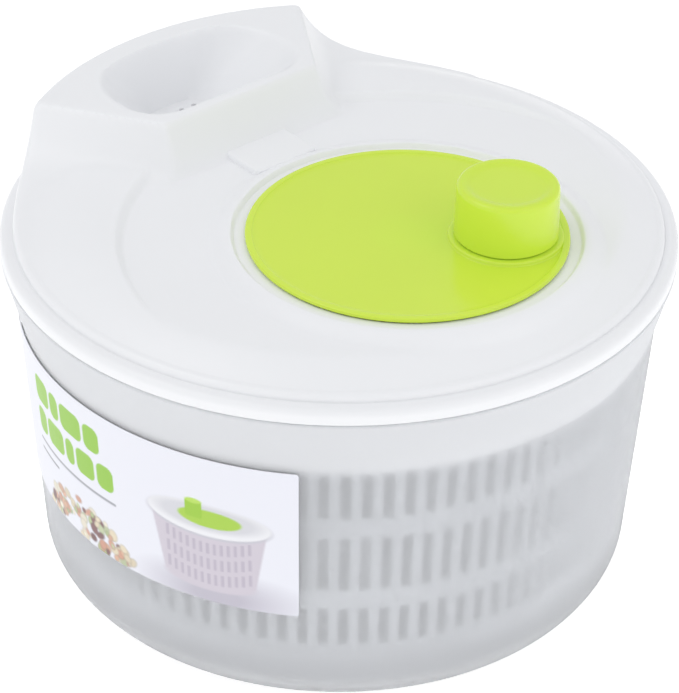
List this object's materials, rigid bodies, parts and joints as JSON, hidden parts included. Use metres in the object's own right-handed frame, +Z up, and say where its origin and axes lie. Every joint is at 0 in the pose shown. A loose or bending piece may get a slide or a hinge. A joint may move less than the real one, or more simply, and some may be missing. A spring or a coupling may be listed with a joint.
{
  "type": "salad spinner",
  "caption": "Crank-driven salad spinner: frosted bowl, slotted basket and domed lid with a pouring funnel and an off-centre crank disc geared to the basket.",
  "frame": {"origin": "centre of the bowl's base, on the table", "axes": "+Z up along the bowl's axis, +Y towards the pouring funnel, the crank on the -Y side"},
  "size_m": [0.245, 0.245, 0.1721],
  "materials": {
    "frosted": "frosted translucent polypropylene",
    "white": "satin white polypropylene",
    "basket_white": "satin white polypropylene",
    "green": "glossy lime green plastic",
    "natural": "natural acetal",
    "steel": "zinc-plated steel",
    "film": null
  },
  "bodies": {
    "bowl": {"bowl": "frosted", "bowl_label": "film"},
    "basket_carrier": {"basket_bush": "natural"},
    "basket": {"basket": "basket_white"},
    "lid": {"lid": "white", "crank_bushing": "natural", "drive_bushing": "natural"},
    "driver": {"drive_pinion": "natural", "drive_spider": "white", "drive_washer": "steel", "drive_screw": "steel"},
    "crank": {"crank_disc": "green", "ring_gear": "natural", "ring_gear_screw_1": "steel", "ring_gear_screw_2": "steel", "ring_gear_screw_3": "steel", "crank_washer": "steel", "crank_screw": "steel"},
    "knob": {"knob": "green", "knob_washer": "steel", "knob_screw": "steel"}
  },
  "joints": [
    {"name": "lid_lift", "type": "slide", "parent": "bowl", "child": "lid", "axis": [0, 0, 1], "range_m": [0, 0.26]},
    {"name": "basket_lift", "type": "slide", "parent": "bowl", "child": "basket_carrier", "axis": [0, 0, 1], "range_m": [0, 0.13]},
    {"name": "basket_spin", "type": "hinge", "parent": "basket_carrier", "child": "basket", "pos_m": [0, 0, 0.02], "axis": [0, 0, 1], "continuous": true},
    {"name": "crank_spin", "type": "hinge", "parent": "lid", "child": "crank", "pos_m": [0, -0.03675, 0.14], "axis": [0, 0, 1], "continuous": true},
    {"name": "drive_spin", "type": "hinge", "parent": "lid", "child": "driver", "pos_m": [0, 0, 0.13], "axis": [0, 0, 1], "continuous": true},
    {"name": "knob_spin", "type": "hinge", "parent": "crank", "child": "knob", "pos_m": [0.02489, -0.06078, 0.165], "axis": [0, 0, 1], "continuous": true}
  ],
  "couplings": [
    {"joint": "basket_lift", "follows": "lid_lift", "ratio": 0.5},
    {"joint": "drive_spin", "follows": "crank_spin", "ratio": 4.5},
    {"joint": "basket_spin", "follows": "crank_spin", "ratio": 4.5}
  ]
}
